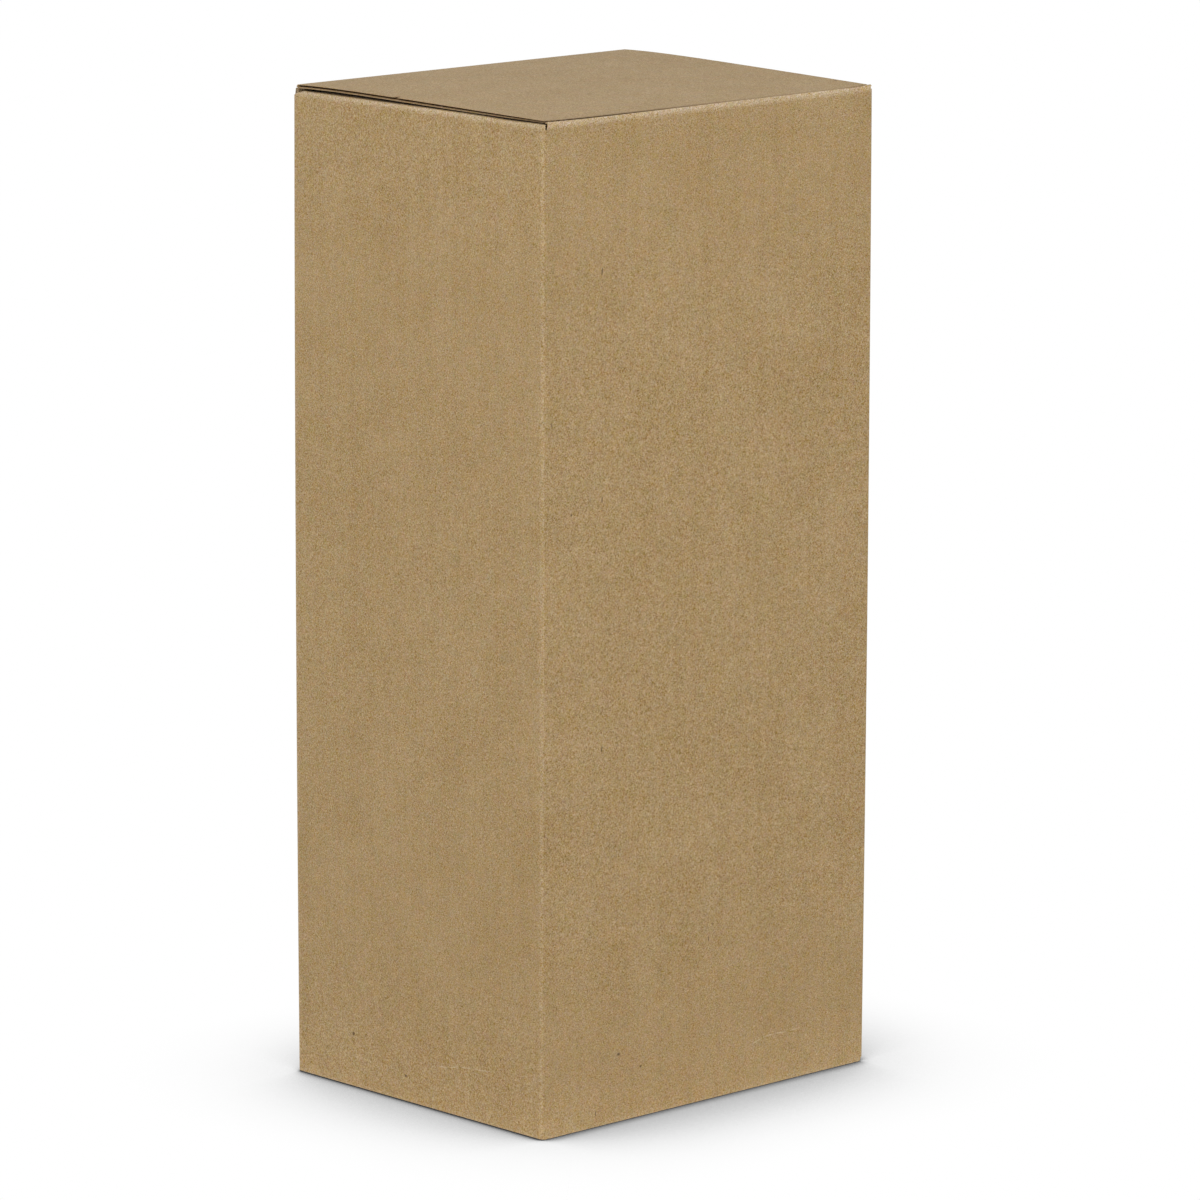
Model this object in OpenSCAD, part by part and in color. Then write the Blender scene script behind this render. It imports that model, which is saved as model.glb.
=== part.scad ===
// Tall kraft carton of micro-flute board: one creased and folded sheet.
// The lid hinges along X at the front wall and tucks in behind the back wall.
// The bottom is a snap lock of four flaps. The origin is the centre of the base, +Z up.

/* [Carton] */
// Outside width of the two wide walls, along X
carton_w = 188; // [170:1:220]
// Outside depth of the two narrow walls, along Y
carton_d = 152; // [140:1:180]
// Height from the floor to the top of the closed lid
carton_h = 420; // [300:1:500]

/* [Board] */
// Thickness of the whole board
board_t = 1.5; // [1.3:0.1:1.8]
// Thickness of each flat liner
liner_t = 0.25; // [0.2:0.05:0.3]
// Thickness of the wavy medium between the liners
medium_t = 0.2; // [0.15:0.05:0.25]
// Length of one wave of the medium
flute_pitch = 3.3; // [3:0.1:3.6]
// How far in the open flutes are modelled from a cut edge
flute_depth = 12; // [6:1:16]
// Inside radius of a fold
crease_r = 0.3; // [0.2:0.1:0.5]

/* [Lid] */
// Rise of the lid from its hinge to its tuck fold, as the stiff board lies
lid_rise = 1.2; // [0:0.1:1.6]
// Distance from a cut side of the lid to the narrow wall's outer face
lid_side_gap = 1.2; // [0.8:0.1:2.5]
// Play between the front wall's rounded crease and the lid
hinge_gap = 0.12; // [0.1:0.01:0.2]
// Length of the tuck flap below its fold
tuck_len = 20; // [16:1:24]
// Lean of the tuck flap into the carton, in degrees
tuck_lean = 5; // [4.5:0.5:8]
// Radius of the tuck flap's free corners
tuck_corner_r = 13; // [8:1:15]
// Step in from the lid's side to the tuck flap's side
tuck_inset = 2; // [1:0.5:5]
// Play between the lid's tuck fold and the back wall
tuck_gap = 0.4; // [0.4:0.1:1]

/* [Dust flaps] */
// Least space between the dust flaps and the lid, at the hinge
dust_gap = 0.2; // [0.1:0.1:1]
// Reach of a dust flap in from its wall
dust_len = 62; // [45:1:66]
// Space between a dust flap and the front wall
dust_front_gap = 1.5; // [1:0.1:4]
// Distance that a dust flap keeps from the back wall's outer face, for the tuck flap
dust_back_gap = 8; // [7:0.5:14]
// Taper of a dust flap's back edge, in degrees
dust_taper = 7; // [2:1:12]
// Radius of a dust flap's free corners
dust_corner_r = 11; // [6:1:18]

/* [Walls] */
// Drop of the back wall's cut top edge below the lid's top
back_drop = 0.6; // [0.3:0.1:2]
// Lift of the narrow walls' lower folds off the floor
side_lift = 0.4; // [0.2:0.1:0.8]
// Setback of the back wall's cut end from the narrow wall's outer face
joint_setback = 0.5; // [0.2:0.1:1.2]
// Width of the glue tab
tab_w = 30; // [20:1:38]
// Slope cut of the glue tab's two ends
tab_taper = 12; // [6:1:20]
// Clear height between the glue tab and the tuck flap
tab_clear = 6; // [4:1:20]

/* [Snap-lock bottom] */
// Width of the lock flap's tongue
tongue_w = 94; // [80:1:100]
// Length of the tongue past its fold
tongue_len = 54; // [48:1:60]
// Upward fold of the tongue, in degrees
tongue_bend = 9; // [8.5:0.5:11]
// Play at each side of the tongue in the slotted flap
tongue_play = 1.5; // [1:0.1:3]
// Radius of the tongue's free corners
tongue_corner_r = 16; // [10:1:20]
// Length of the lock flap up to the fold of its tongue
lock_len = 70; // [66:1:72]
// Cut at each shoulder of the lock flap, beside the tongue
shoulder_cut = 6; // [4:1:8]
// Length of the slotted flap to the floor of its slot
slot_floor = 44; // [40:1:48]
// Length of the slotted flap's two legs
leg_len = 94; // [88:1:100]
// Length of the slanted cut at a leg's outer corner
leg_cut_len = 14; // [10:1:20]
// Width of the slanted cut at a leg's outer corner
leg_cut_w = 9; // [6:1:14]
// Upward tilt of the slotted flap, in degrees
slotted_tilt = 4.2; // [4:0.1:5]
// Reach of a side flap in from its wall
side_len = 43; // [36:1:44]
// Upward tilt of a side flap, in degrees
side_tilt = 3.1; // [3:0.1:3.5]
// Distance from a side flap's back edge to the back wall, at the fold
side_back_gap = 29; // [28:1:34]
// Slant of a side flap's back edge, in degrees
side_slant = 37; // [36:0.5:42]
// Reach of the slanted corner cuts between lock flap and side flaps
mitre = 22; // [20:1:24]

/* [Hidden] */
$fn = 48;
KRAFT = [0.635, 0.54, 0.385];
KRAFT_TOP = [0.665, 0.58, 0.455];

corner_cut = 3;                       // folds end this far from a corner
root_step = 1;                        // step in from a fold's end to the flap's side
over = 1;                             // length that a cut runs past the board
corner_lift = 0.6;                    // rounded corners end this far off the folds' level

half_w = carton_w / 2;
half_d = carton_d / 2;
fold_r = crease_r + board_t;          // outer radius of every fold
inner_w = carton_w - 2 * board_t;
inner_d = carton_d - 2 * board_t;

hinge_y = -half_d + board_t / 2;      // axis of the lid's crease
hinge_z = carton_h - lid_rise - board_t / 2;
lid_w = carton_w - 2 * lid_side_gap;
lid_front = -half_d + board_t + hinge_gap;
lid_back = half_d - board_t - tuck_gap;
tuck_top_w = lid_w - 2 * tuck_inset;

dust_top = carton_h - lid_rise - board_t - dust_gap;
side_fold_w = 2 * (half_d - corner_cut);
dust_front = -half_d + board_t + dust_front_gap;
dust_w = half_d - dust_back_gap - dust_front;
back_top = carton_h - back_drop;
side_low = side_lift + fold_r;        // where the narrow walls' lower folds start
side_high = dust_top - fold_r;        // where their upper folds start

joint_reach = 6;                      // length of back wall past the last full corner
joint_r = board_t - crease_r;         // outer radius of the fold under the glued joint
flute_h = board_t - 2 * liner_t;      // height of the wave between the liners
flute_margin = 1.5;                   // closed board left at the end of a row of flutes
groove = 1.1;                         // depth of the open flute along a cut side

// Rectangle in the XY plane with four equal round corners, centred.
module rounded_rect(w, d, r) {
    square([w - 2 * r, d], center = true);
    square([w, d - 2 * r], center = true);
    for (sx = [-1, 1], sy = [-1, 1])
        translate([sx * (w / 2 - r), sy * (d / 2 - r)])
            circle(r);
}

// Flap outline: starts along Y at x = 0, reaches to x = len, far corners round.
module flap_outline(len, w, r) {
    intersection() {
        translate([0, -w / 2])
            square([len, w]);
        union() {
            translate([0, -w / 2])
                square([len - r, w]);
            translate([0, -w / 2 + r])
                square([len, w - 2 * r]);
            for (s = [-1, 1])
                translate([len - r, s * (w / 2 - r)])
                    circle(r);
        }
    }
}

// Section of a fold: a ring slice from angle a0 to a1 about its own centre.
module fold_section(a0, a1) {
    reach = 2 * fold_r;
    mid = (a0 + a1) / 2;
    intersection() {
        difference() {
            circle(fold_r);
            circle(crease_r);
        }
        polygon([
            [0, 0],
            reach * [cos(a0), sin(a0)],
            reach * [cos(mid), sin(mid)] * 1.5,
            reach * [cos(a1), sin(a1)]
        ]);
    }
}

// Flap at the foot of a wall. The wall's outer face is x = 0 and the flap goes to +X,
// its fold touches z = 0, and it rises by tilt. The first child is its flat outline,
// with x counted from the end of the fold, and the second is what is cut from it.
module foot_flap(fold_w, tilt) {
    translate([fold_r, 0, fold_r]) {
        rotate([90, 0, 0])
            linear_extrude(fold_w, center = true)
                fold_section(180, 270 + tilt);
        rotate([0, -tilt, 0])
            translate([0, 0, -fold_r])
                difference() {
                    linear_extrude(board_t)
                        children(0);
                    if ($children > 1)
                        children(1);
                }
    }
}

// Open flutes at a cut edge. The edge is the plane z = 0, the row runs along X,
// the board lies from y = 0 to y = board_t and the flutes go down.
module flute_row(len) {
    crest = flute_h - medium_t;
    count = floor((len - 2 * flute_margin) / flute_pitch);
    half_base = flute_pitch / 2 - medium_t;
    start = -count * flute_pitch / 2;
    translate([0, liner_t, -flute_depth])
        linear_extrude(flute_depth + over) {
            for (i = [0 : count - 1])
                translate([start + (i + 0.5) * flute_pitch, 0])
                    polygon([[-half_base, 0], [half_base, 0], [0, crest]]);
            for (i = [1 : count - 1])
                translate([start + i * flute_pitch, flute_h])
                    polygon([[-half_base, 0], [half_base, 0], [0, -crest]]);
        }
}

// Open flutes at the free end of a flap that lies in the XY plane and reaches to X.
module end_flutes(len, y_mid, mouth_w) {
    translate([len, y_mid, 0])
        rotate([90, 0, 90])
            flute_row(mouth_w);
}

// One flute cut open lengthwise: section of the groove in a cut side at x = 0,
// with the board at x < 0 from y = 0 to y = board_t.
module groove_section() {
    polygon([
        [over, liner_t],
        [0, liner_t],
        [-groove, board_t - liner_t],
        [over, board_t - liner_t]
    ]);
}

// Plan of the four walls. The sheet's glued joint is at the +X +Y corner, where the
// back wall's cut end lies on the fold of the narrow wall.
module wall_plan() {
    difference() {
        rounded_rect(carton_w, carton_d, fold_r);
        rounded_rect(inner_w, inner_d, crease_r);
        translate([half_w - joint_reach, half_d - board_t])
            square([joint_reach + over, board_t + over]);
        translate([half_w - joint_r, half_d - board_t - joint_r])
            difference() {
                square(joint_r + over);
                circle(joint_r);
            }
    }
    difference() {
        translate([half_w - joint_reach, half_d - board_t])
            square([joint_reach - joint_setback, board_t]);
        translate([half_w - joint_setback, half_d - board_t])
            groove_section();
    }
}

// Inner flap at the top of a narrow wall, built for the -X wall. Its fold takes the
// whole wall, and the flap itself is narrower.
module dust_flap() {
    flat_len = dust_len - fold_r;
    mouth_w = dust_w - 2 * dust_corner_r - flat_len * tan(dust_taper);
    mouth_y = dust_front + dust_corner_r + mouth_w / 2;
    translate([-half_w + fold_r, 0, side_high])
        rotate([90, 0, 0])
            linear_extrude(side_fold_w, center = true)
                fold_section(90, 180);
    translate([-half_w + fold_r, 0, dust_top - board_t])
        difference() {
            linear_extrude(board_t)
                intersection() {
                    translate([0, dust_front + dust_w / 2])
                        flap_outline(flat_len, dust_w, dust_corner_r);
                    polygon([
                        [0, dust_front],
                        [flat_len, dust_front],
                        [flat_len, dust_front + dust_w - flat_len * tan(dust_taper)],
                        [0, dust_front + dust_w]
                    ]);
                }
            end_flutes(flat_len, mouth_y, mouth_w);
        }
}

// Glue tab inside the back wall, on the fold of the +X wall.
module glue_tab() {
    low = leg_len * sin(slotted_tilt) + tab_clear;
    high = carton_h - tuck_len - fold_r - tab_clear;
    edge_x = half_w - board_t;
    translate([0, half_d - board_t, 0])
        rotate([90, 0, 0])
            linear_extrude(board_t)
                polygon([
                    [edge_x, low],
                    [edge_x, high],
                    [edge_x - tab_w, high - tab_taper],
                    [edge_x - tab_w, low + tab_taper]
                ]);
}

// Outermost bottom flap, on the front wall, with the tongue that locks it.
module lock_flap() {
    root = half_w - corner_cut;
    waist = root - mitre;
    translate([0, -half_d, 0])
        rotate(90) {
            foot_flap(2 * root, 0)
                polygon([
                    [0, -root],
                    [mitre, -waist],
                    [lock_len - shoulder_cut, -waist],
                    [lock_len, -waist + shoulder_cut],
                    [lock_len, waist - shoulder_cut],
                    [lock_len - shoulder_cut, waist],
                    [mitre, waist],
                    [0, root]
                ]);
            translate([fold_r + lock_len, 0, 0])
                rotate([0, -tongue_bend, 0])
                    difference() {
                        linear_extrude(board_t)
                            flap_outline(tongue_len, tongue_w, tongue_corner_r);
                        end_flutes(tongue_len, 0, tongue_w - 2 * tongue_corner_r);
                    }
        }
}

// Innermost bottom flap, on the back wall, slotted for the tongue.
module slotted_flap() {
    root = inner_w / 2 - root_step;
    slot_w = tongue_w + 2 * tongue_play;
    leg_end_w = root - leg_cut_w - slot_w / 2;
    translate([0, half_d, 0])
        rotate(-90)
            foot_flap(2 * (half_w - corner_cut), slotted_tilt) {
                difference() {
                    polygon([
                        [0, -root],
                        [leg_len - leg_cut_len, -root],
                        [leg_len, -root + leg_cut_w],
                        [leg_len, root - leg_cut_w],
                        [leg_len - leg_cut_len, root],
                        [0, root]
                    ]);
                    translate([slot_floor, -slot_w / 2])
                        square([leg_len, slot_w]);
                }
                for (s = [-1, 1])
                    end_flutes(leg_len, s * (slot_w + leg_end_w) / 2, leg_end_w);
            }
}

// Bottom flap of a narrow wall, built for the -X wall. It lies on the lock flap and
// under the slotted flap's leg, so its corners are cut where it would foul them.
module side_flap() {
    front = -half_d + corner_cut + root_step;
    end_front = front + mitre - 3 * root_step;
    back = half_d - side_back_gap;
    end_back = back - side_len * tan(side_slant);
    translate([-half_w, 0, side_lift])
        foot_flap(side_fold_w, side_tilt) {
            polygon([
                [0, front],
                [2 * root_step, front],
                [mitre - root_step, end_front],
                [side_len, end_front],
                [side_len, end_back],
                [0, back]
            ]);
            end_flutes(side_len, (end_front + end_back) / 2, end_back - end_front);
        }
}

module box_body() {
    color(KRAFT) {
        difference() {
            union() {
                translate([0, 0, side_low])
                    linear_extrude(side_high - side_low)
                        wall_plan();
                intersection() {
                    translate([0, 0, side_lift + corner_lift])
                        linear_extrude(dust_top - side_lift - 2 * corner_lift)
                            wall_plan();
                    for (sx = [-1, 1], sy = [-1, 1])
                        translate([sx * half_w, sy * half_d, carton_h / 2])
                            cube([2 * corner_cut, 2 * corner_cut, 2 * carton_h], center = true);
                }
                // front wall, up to the lid's crease and down to its foot
                translate([-half_w + lid_side_gap, -half_d, side_high - over])
                    cube([lid_w, board_t, hinge_z - side_high + over]);
                translate([0, hinge_y, hinge_z])
                    rotate([0, 90, 0])
                        cylinder(h = lid_w, d = board_t, center = true);
                translate([-half_w + corner_cut, -half_d, fold_r])
                    cube([carton_w - 2 * corner_cut, board_t, side_low - fold_r + over]);
                // back wall, up to its cut edge and down to its foot
                translate([-half_w + corner_cut, half_d - board_t, side_high - over])
                    cube([
                        carton_w - corner_cut - joint_reach,
                        board_t,
                        back_top - side_high + over
                    ]);
                translate([-half_w + corner_cut, half_d - board_t, fold_r])
                    cube([carton_w - 2 * corner_cut, board_t, side_low - fold_r + over]);
                glue_tab();
            }
            translate([-joint_reach / 2, half_d - board_t, back_top])
                flute_row(carton_w - 2 * corner_cut - joint_reach);
        }
        dust_flap();
        mirror([1, 0, 0])
            dust_flap();
        lock_flap();
        slotted_flap();
        side_flap();
        mirror([1, 0, 0])
            side_flap();
    }
}

// Tuck flap with its fold. The fold's centre line is the X axis, and the flap goes
// down, turned in by lean.
module tuck_flap(lean) {
    rotate([90, 0, 90])
        linear_extrude(tuck_top_w, center = true)
            fold_section(-lean, 90);
    rotate([-lean, 0, 0])
        difference() {
            translate([0, fold_r, 0])
                rotate([90, 90, 0])
                    linear_extrude(board_t)
                        flap_outline(tuck_len, tuck_top_w, tuck_corner_r);
            translate([0, crease_r, -tuck_len])
                mirror([0, 0, 1])
                    flute_row(tuck_top_w - 2 * tuck_corner_r);
        }
}

// Lid panel and tuck flap, built flat about the hinge's axis and then raised.
module lid() {
    fold_y = lid_back - fold_r - hinge_y;
    start_y = lid_front - hinge_y;
    lid_tilt = asin(lid_rise / fold_y);
    color(KRAFT_TOP)
        translate([0, hinge_y, hinge_z])
            rotate([lid_tilt, 0, 0])
                translate([0, 0, -board_t / 2]) {
                    difference() {
                        translate([-lid_w / 2, start_y, 0])
                            cube([lid_w, fold_y - start_y, board_t]);
                        for (s = [0, 1])
                            mirror([s, 0, 0])
                                translate([lid_w / 2, fold_y, 0])
                                    rotate([90, 0, 0])
                                        linear_extrude(carton_d)
                                            groove_section();
                    }
                    translate([0, fold_y, board_t - fold_r])
                        tuck_flap(tuck_lean + lid_tilt);
                }
}

box_body();
lid();
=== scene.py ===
import math

import bmesh
import bpy
import numpy as np
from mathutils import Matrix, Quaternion, Vector


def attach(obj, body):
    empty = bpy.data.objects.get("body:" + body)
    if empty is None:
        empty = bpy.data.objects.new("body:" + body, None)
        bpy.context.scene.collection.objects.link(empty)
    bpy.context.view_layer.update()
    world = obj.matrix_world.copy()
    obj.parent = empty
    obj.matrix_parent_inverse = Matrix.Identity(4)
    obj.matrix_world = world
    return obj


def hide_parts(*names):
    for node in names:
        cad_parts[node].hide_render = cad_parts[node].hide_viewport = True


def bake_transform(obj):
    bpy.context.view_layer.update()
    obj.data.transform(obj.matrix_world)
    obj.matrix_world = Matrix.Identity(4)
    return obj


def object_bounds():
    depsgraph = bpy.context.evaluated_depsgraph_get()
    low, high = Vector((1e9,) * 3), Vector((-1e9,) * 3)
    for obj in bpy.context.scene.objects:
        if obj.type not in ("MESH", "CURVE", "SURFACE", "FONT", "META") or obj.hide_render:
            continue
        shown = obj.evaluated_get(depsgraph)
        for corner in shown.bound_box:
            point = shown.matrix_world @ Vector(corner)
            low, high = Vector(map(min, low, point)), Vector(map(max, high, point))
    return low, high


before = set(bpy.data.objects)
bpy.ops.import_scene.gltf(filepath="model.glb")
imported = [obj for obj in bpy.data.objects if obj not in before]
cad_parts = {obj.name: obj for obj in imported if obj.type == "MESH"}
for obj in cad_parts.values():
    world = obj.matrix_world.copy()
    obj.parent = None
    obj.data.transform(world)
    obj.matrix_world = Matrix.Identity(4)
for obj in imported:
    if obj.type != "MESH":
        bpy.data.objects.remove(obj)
cad_low, cad_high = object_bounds()

# Walls and glue tab.
# The four walls are one strip of kraft micro-flute board, scored and folded at the
# corners. Its cut end lies over the glue tab at a back corner. Two flat liners hold
# a wavy medium between them, and the flutes stand upright.

MM = 0.001
carton_w = cad_high.x - cad_low.x
carton_d = cad_high.y - cad_low.y
carton_h = cad_high.z
half_w, half_d = carton_w / 2, carton_d / 2

board_t = 1.5 * MM
liner_t = 0.25 * MM
medium_t = 0.2 * MM
flute_pitch = 3.3 * MM
crease_r = 0.3 * MM          # inner radius of a fold
fold_r = crease_r + board_t
foot_r = 1.0 * MM            # outer radius of the folds at the floor
scored_t = 0.9 * MM          # the board's thickness where a score line crushes it
near_fold = (0.4 * MM, 1.2 * MM, 2.5 * MM)  # stations beside a score line
cut_step = 0.02 * MM         # two stations this near to a place make a square cut there
fold_steps = 8
wall_step = 6 * MM           # distance between stations on a wall's flat run

crease_top = carton_h - 1.7 * MM     # top of the front wall's rounded crease
hinge_z = crease_top - board_t / 2
dust_top = carton_h - 2.9 * MM       # top of the dust flaps' folds
narrow_high = dust_top - fold_r
narrow_low = 0.2 * MM + foot_r
back_top = crease_top + 0.55 * MM
corner_low = 0.5 * MM
worn_corner_low = 2.0 * MM
corner_high = dust_top - 0.8 * MM
slit_corner_high = corner_high + 0.9 * MM
joint_setback = 0.5 * MM     # distance of the back wall's cut end from the corner

tab_w = 30 * MM
tab_taper = 12 * MM
tab_low = 13 * MM
tab_high = 392 * MM

liner_finish, edge_finish, flute_finish = range(3)  # places in each mesh's materials


class FoldedPath:
    """The board's outer face in one plane, walked with the inside of the box on the left."""

    def __init__(self, start, heading):
        self.x, self.y = start
        self.heading = math.radians(heading)
        self.rows = []

    def mark(self, crush, part, run):
        inward = (-math.sin(self.heading), math.cos(self.heading))
        self.rows.append((self.x, self.y, *inward, crush, run, part))

    def go(self, length, step, part, from_start=False, extra=()):
        """Straight run, with close stations near both ends where the board was scored."""
        middle = length - 2 * near_fold[-1]
        count = max(1, round(middle / step))
        inner = [near_fold[-1] + middle * i / count for i in range(count + 1)]
        far_end = [length - run for run in near_fold]
        runs = sorted({*near_fold, *inner, *extra, *far_end, length})
        x, y = self.x, self.y
        if from_start:
            self.mark(0, part, 0)
        for run in (r for r in runs if 0 < r <= length):
            self.x = x + math.cos(self.heading) * run
            self.y = y + math.sin(self.heading) * run
            self.mark(0, part, run)
        return self

    def fold(self, angle, part, radius=fold_r, steps=fold_steps):
        """Rounded score line, turning left, where the flutes are crushed flat."""
        cx = self.x - math.sin(self.heading) * radius
        cy = self.y + math.cos(self.heading) * radius
        first = self.heading
        last_crushed = steps - 0.5
        for i in range(1, steps + 1):
            self.heading = first + math.radians(angle) * i / steps
            self.x = cx + radius * math.sin(self.heading)
            self.y = cy - radius * math.cos(self.heading)
            crush = math.sin(math.pi * min(i, last_crushed) / steps)
            self.mark(crush, part, radius * i / steps)
        return self


def flap_path(start, angle, radius=fold_r):
    """Path of a flap, up to the end of the fold that it hangs on."""
    path = FoldedPath(start, 270)
    path.mark(0, "fold", 0)
    return path.fold(angle, "fold", radius)


def ply(rows, limits, place, columns, depth, thick, finish):
    """One closed layer of paper along a path: vertices, quads and each quad's finish."""
    origin, e1, e2, across = (np.array(v, float) for v in place)
    spot = np.array([r[:2] for r in rows])
    inward = np.array([r[2:4] for r in rows])
    crush = np.array([r[4] for r in rows])[:, None]
    run = np.array([r[5] for r in rows])[:, None]
    span = np.array([limits(r[6], r[5]) for r in rows])
    share = np.linspace(0, 1, columns + 1)[None, :]
    w = span[:, :1] + (span[:, 1:] - span[:, :1]) * share
    d_out = depth(crush, run, w) + 0 * w
    d_in = d_out + thick(crush) + 0 * w

    def face(d):
        a = spot[:, None, 0] + inward[:, None, 0] * d
        b = spot[:, None, 1] + inward[:, None, 1] * d
        return origin + a[..., None] * e1 + b[..., None] * e2 + w[..., None] * across

    n, m = w.shape
    points = np.concatenate([face(d_out).reshape(-1, 3), face(d_in).reshape(-1, 3)])
    grid = np.arange(n * m).reshape(n, m)
    low = grid + n * m
    skin = np.stack([grid[:-1, :-1], grid[1:, :-1], grid[1:, 1:], grid[:-1, 1:]], -1)
    lining = skin[..., ::-1] + n * m
    quads = [skin.reshape(-1, 4), lining.reshape(-1, 4)]
    for edge_a, edge_b in ((grid[:, 0], low[:, 0]), (low[:, -1], grid[:, -1]),
                           (low[0], grid[0]), (grid[-1], low[-1])):
        quads.append(np.stack([edge_a[:-1], edge_b[:-1], edge_b[1:], edge_a[1:]], -1))
    flat = len(quads[0]) + len(quads[1])
    finishes = np.full(sum(len(q) for q in quads), edge_finish)
    finishes[:flat] = finish
    return points, np.concatenate(quads), finishes


def whole_board(crush):
    """Thickness of the board, from sound to fully crushed at a score line."""
    return board_t - crush * (board_t - scored_t)


def half_board(crush):
    """Thickness of one liner: at a score line the two liners are pressed together."""
    return liner_t + crush * (scored_t / 2 - liner_t)


def liners(rows, limits, place, columns, outer_limits=None, inner_limits=None):
    """The outer and the inner liner of a stretch of board."""
    outer = ply(rows, outer_limits or limits, place, columns,
                lambda c, r, w: 0 * w, half_board, liner_finish)
    inner = ply(rows, inner_limits or limits, place, columns,
                lambda c, r, w: whole_board(c) - half_board(c), half_board, liner_finish)
    return [outer, inner]


def wave(phase):
    """Height of the medium, from -1 to 1, rounder than a sine at its crests."""
    s = np.sin(phase)
    roundness = 0.2
    return s * (1 + roundness - roundness * s * s)


def medium(rows, limits, place, columns, upright=False, drift=0.0, shift=0.0):
    """The fluted medium. It waves along the path if upright, else across it."""
    swing = board_t / 2 - liner_t - medium_t / 2

    def depth(crush, run, w):
        along = run if upright else w + drift * run
        height = wave(2 * math.pi * (along / flute_pitch + shift)) * swing * (1 - crush)
        return board_t / 2 - medium_t / 2 + height

    return [ply(rows, limits, place, columns, depth, lambda c: medium_t, flute_finish)]


# How much the box has given way. Depths are in millimetres, and each fade is the length
# over which its depth dies away.
drawn_in = 0.0042            # share of its size that the box is narrower at top and foot
crease_depth = 0.7
rightward_depth = 0.35       # added to the crease's depth at its right end
left_hold, left_fade = 0.5, 15 * MM
right_hold, right_fade = 0.5, 6 * MM
pinch_depth, pinch_fade = 0.36, 80 * MM
pinch_rise = 0.08
droop_depth, droop_fade = 0.36, 17 * MM
droop_middle = 22 * MM
drop_depth, drop_fade = 1.3, 5 * MM
wall_band = 3 * MM           # the front and the back wall lie this near their faces
settled_band = 6 * MM        # what lies this far below the crease's top has not settled
settled_ramp = 4.5 * MM


def bow(points):
    """The walls stand out a little at mid-height, and the lid keeps to their top edges."""
    rise = 2 * points[:, 2] / carton_h - 1
    points[:, :2] *= (1 - drawn_in * rise ** 2)[:, None]
    return points


def sink(x, y):
    """How far the top has settled at a place: most at the lid's crease, nothing at the back."""
    from_left = np.maximum(x + half_w, 0)
    from_right = carton_w - from_left
    at_crease = crease_depth - left_hold * np.exp(-from_left / left_fade)
    at_crease += rightward_depth * (from_left / carton_w) ** 1.5
    at_crease -= right_hold * np.exp(-(from_right / right_fade) ** 2)
    return at_crease * np.clip(0.5 - y / carton_d, 0, 1) ** 2 * MM


def settle(points):
    """The front wall is pinched down at its left end, the narrow walls droop near the
    front, and the back wall drops at its ends."""
    x, y, z = points.T
    from_left = np.maximum(x + half_w, 0)
    from_side = half_w - np.abs(x)
    from_front = y + half_d
    pinch = pinch_depth * np.exp(-(from_left / pinch_fade) ** 2.5) - pinch_rise
    droop = droop_depth * np.exp(-((from_front - droop_middle) / droop_fade) ** 2)
    drop = drop_depth * np.exp(-(from_side / drop_fade) ** 2)
    pressed = np.select([from_front < wall_band, from_front > carton_d - wall_band],
                        [pinch, drop], droop) * MM
    share = np.clip((z - crease_top + settled_band) / settled_ramp, 0, 1)
    points[:, 2] -= (pressed + sink(x, y)) * share
    return bow(points)


sharp_angle = math.radians(35)


def board_piece(name, layers, body, node, shape=settle, bend=None):
    """Joins layers of paper into one object that rides on a body and stands for its node.
    With bend, its place is baked into its mesh and it rides on no body; the bend's start and
    end are not used."""
    points, quads, finishes, start = [], [], [], 0
    for co, faces, kinds in layers:
        points.append(co)
        quads.append(faces + start)
        finishes.append(kinds)
        start += len(co)
    points = shape(np.concatenate(points))
    mesh = bpy.data.meshes.new(name)
    mesh.from_pydata(points.tolist(), [], np.concatenate(quads).tolist())
    mesh.polygons.foreach_set("material_index", np.concatenate(finishes).astype(np.int32))
    for finish in (kraft_liner, cut_edge, fluting):
        mesh.materials.append(finish)
    bm = bmesh.new()
    bm.from_mesh(mesh)
    bmesh.ops.recalc_face_normals(bm, faces=bm.faces)
    bm.to_mesh(mesh)
    bm.free()
    mesh.shade_smooth()
    mesh.set_sharp_from_angle(angle=sharp_angle)
    piece = bpy.data.objects.new(name, mesh)
    bpy.context.scene.collection.objects.link(piece)
    if bend:
        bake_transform(piece)
    else:
        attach(piece, body)
    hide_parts(node)


# Finishes of the board. Kraft liner is unbleached paper: a fine fibrous mottle, dark
# bark specks, thin upright shives and a few pale fibres, and no print.

def srgb(*display):
    """Scene colour of an 8-bit display colour, by the sRGB curve."""
    shares = [v / 255 for v in display]
    linear = [v / 12.92 if v <= 0.04045 else ((v + 0.055) / 1.055) ** 2.4 for v in shares]
    return (*linear, 1)


column_w, row_h = 180, -160  # spacing of the nodes in the shader editor


def add(tree, kind, place, **values):
    """Adds a shader node. Values name its properties or its input sockets."""
    item = tree.nodes.new(kind)
    item.location = (place[0] * column_w, place[1] * row_h)
    for key, value in values.items():
        if hasattr(item, key):
            setattr(item, key, value)
        else:
            item.inputs[key.replace("_", " ")].default_value = value
    return item


def calc(tree, place, operation, first, second=None, third=None, clamp=False):
    """Math node. Each operand is a number or a socket."""
    item = add(tree, "ShaderNodeMath", place, operation=operation, use_clamp=clamp)
    for slot, value in enumerate((first, second, third)):
        if value is None:
            continue
        if isinstance(value, (int, float)):
            item.inputs[slot].default_value = value
        else:
            tree.links.new(value, item.inputs[slot])
    return item.outputs[0]


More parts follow.
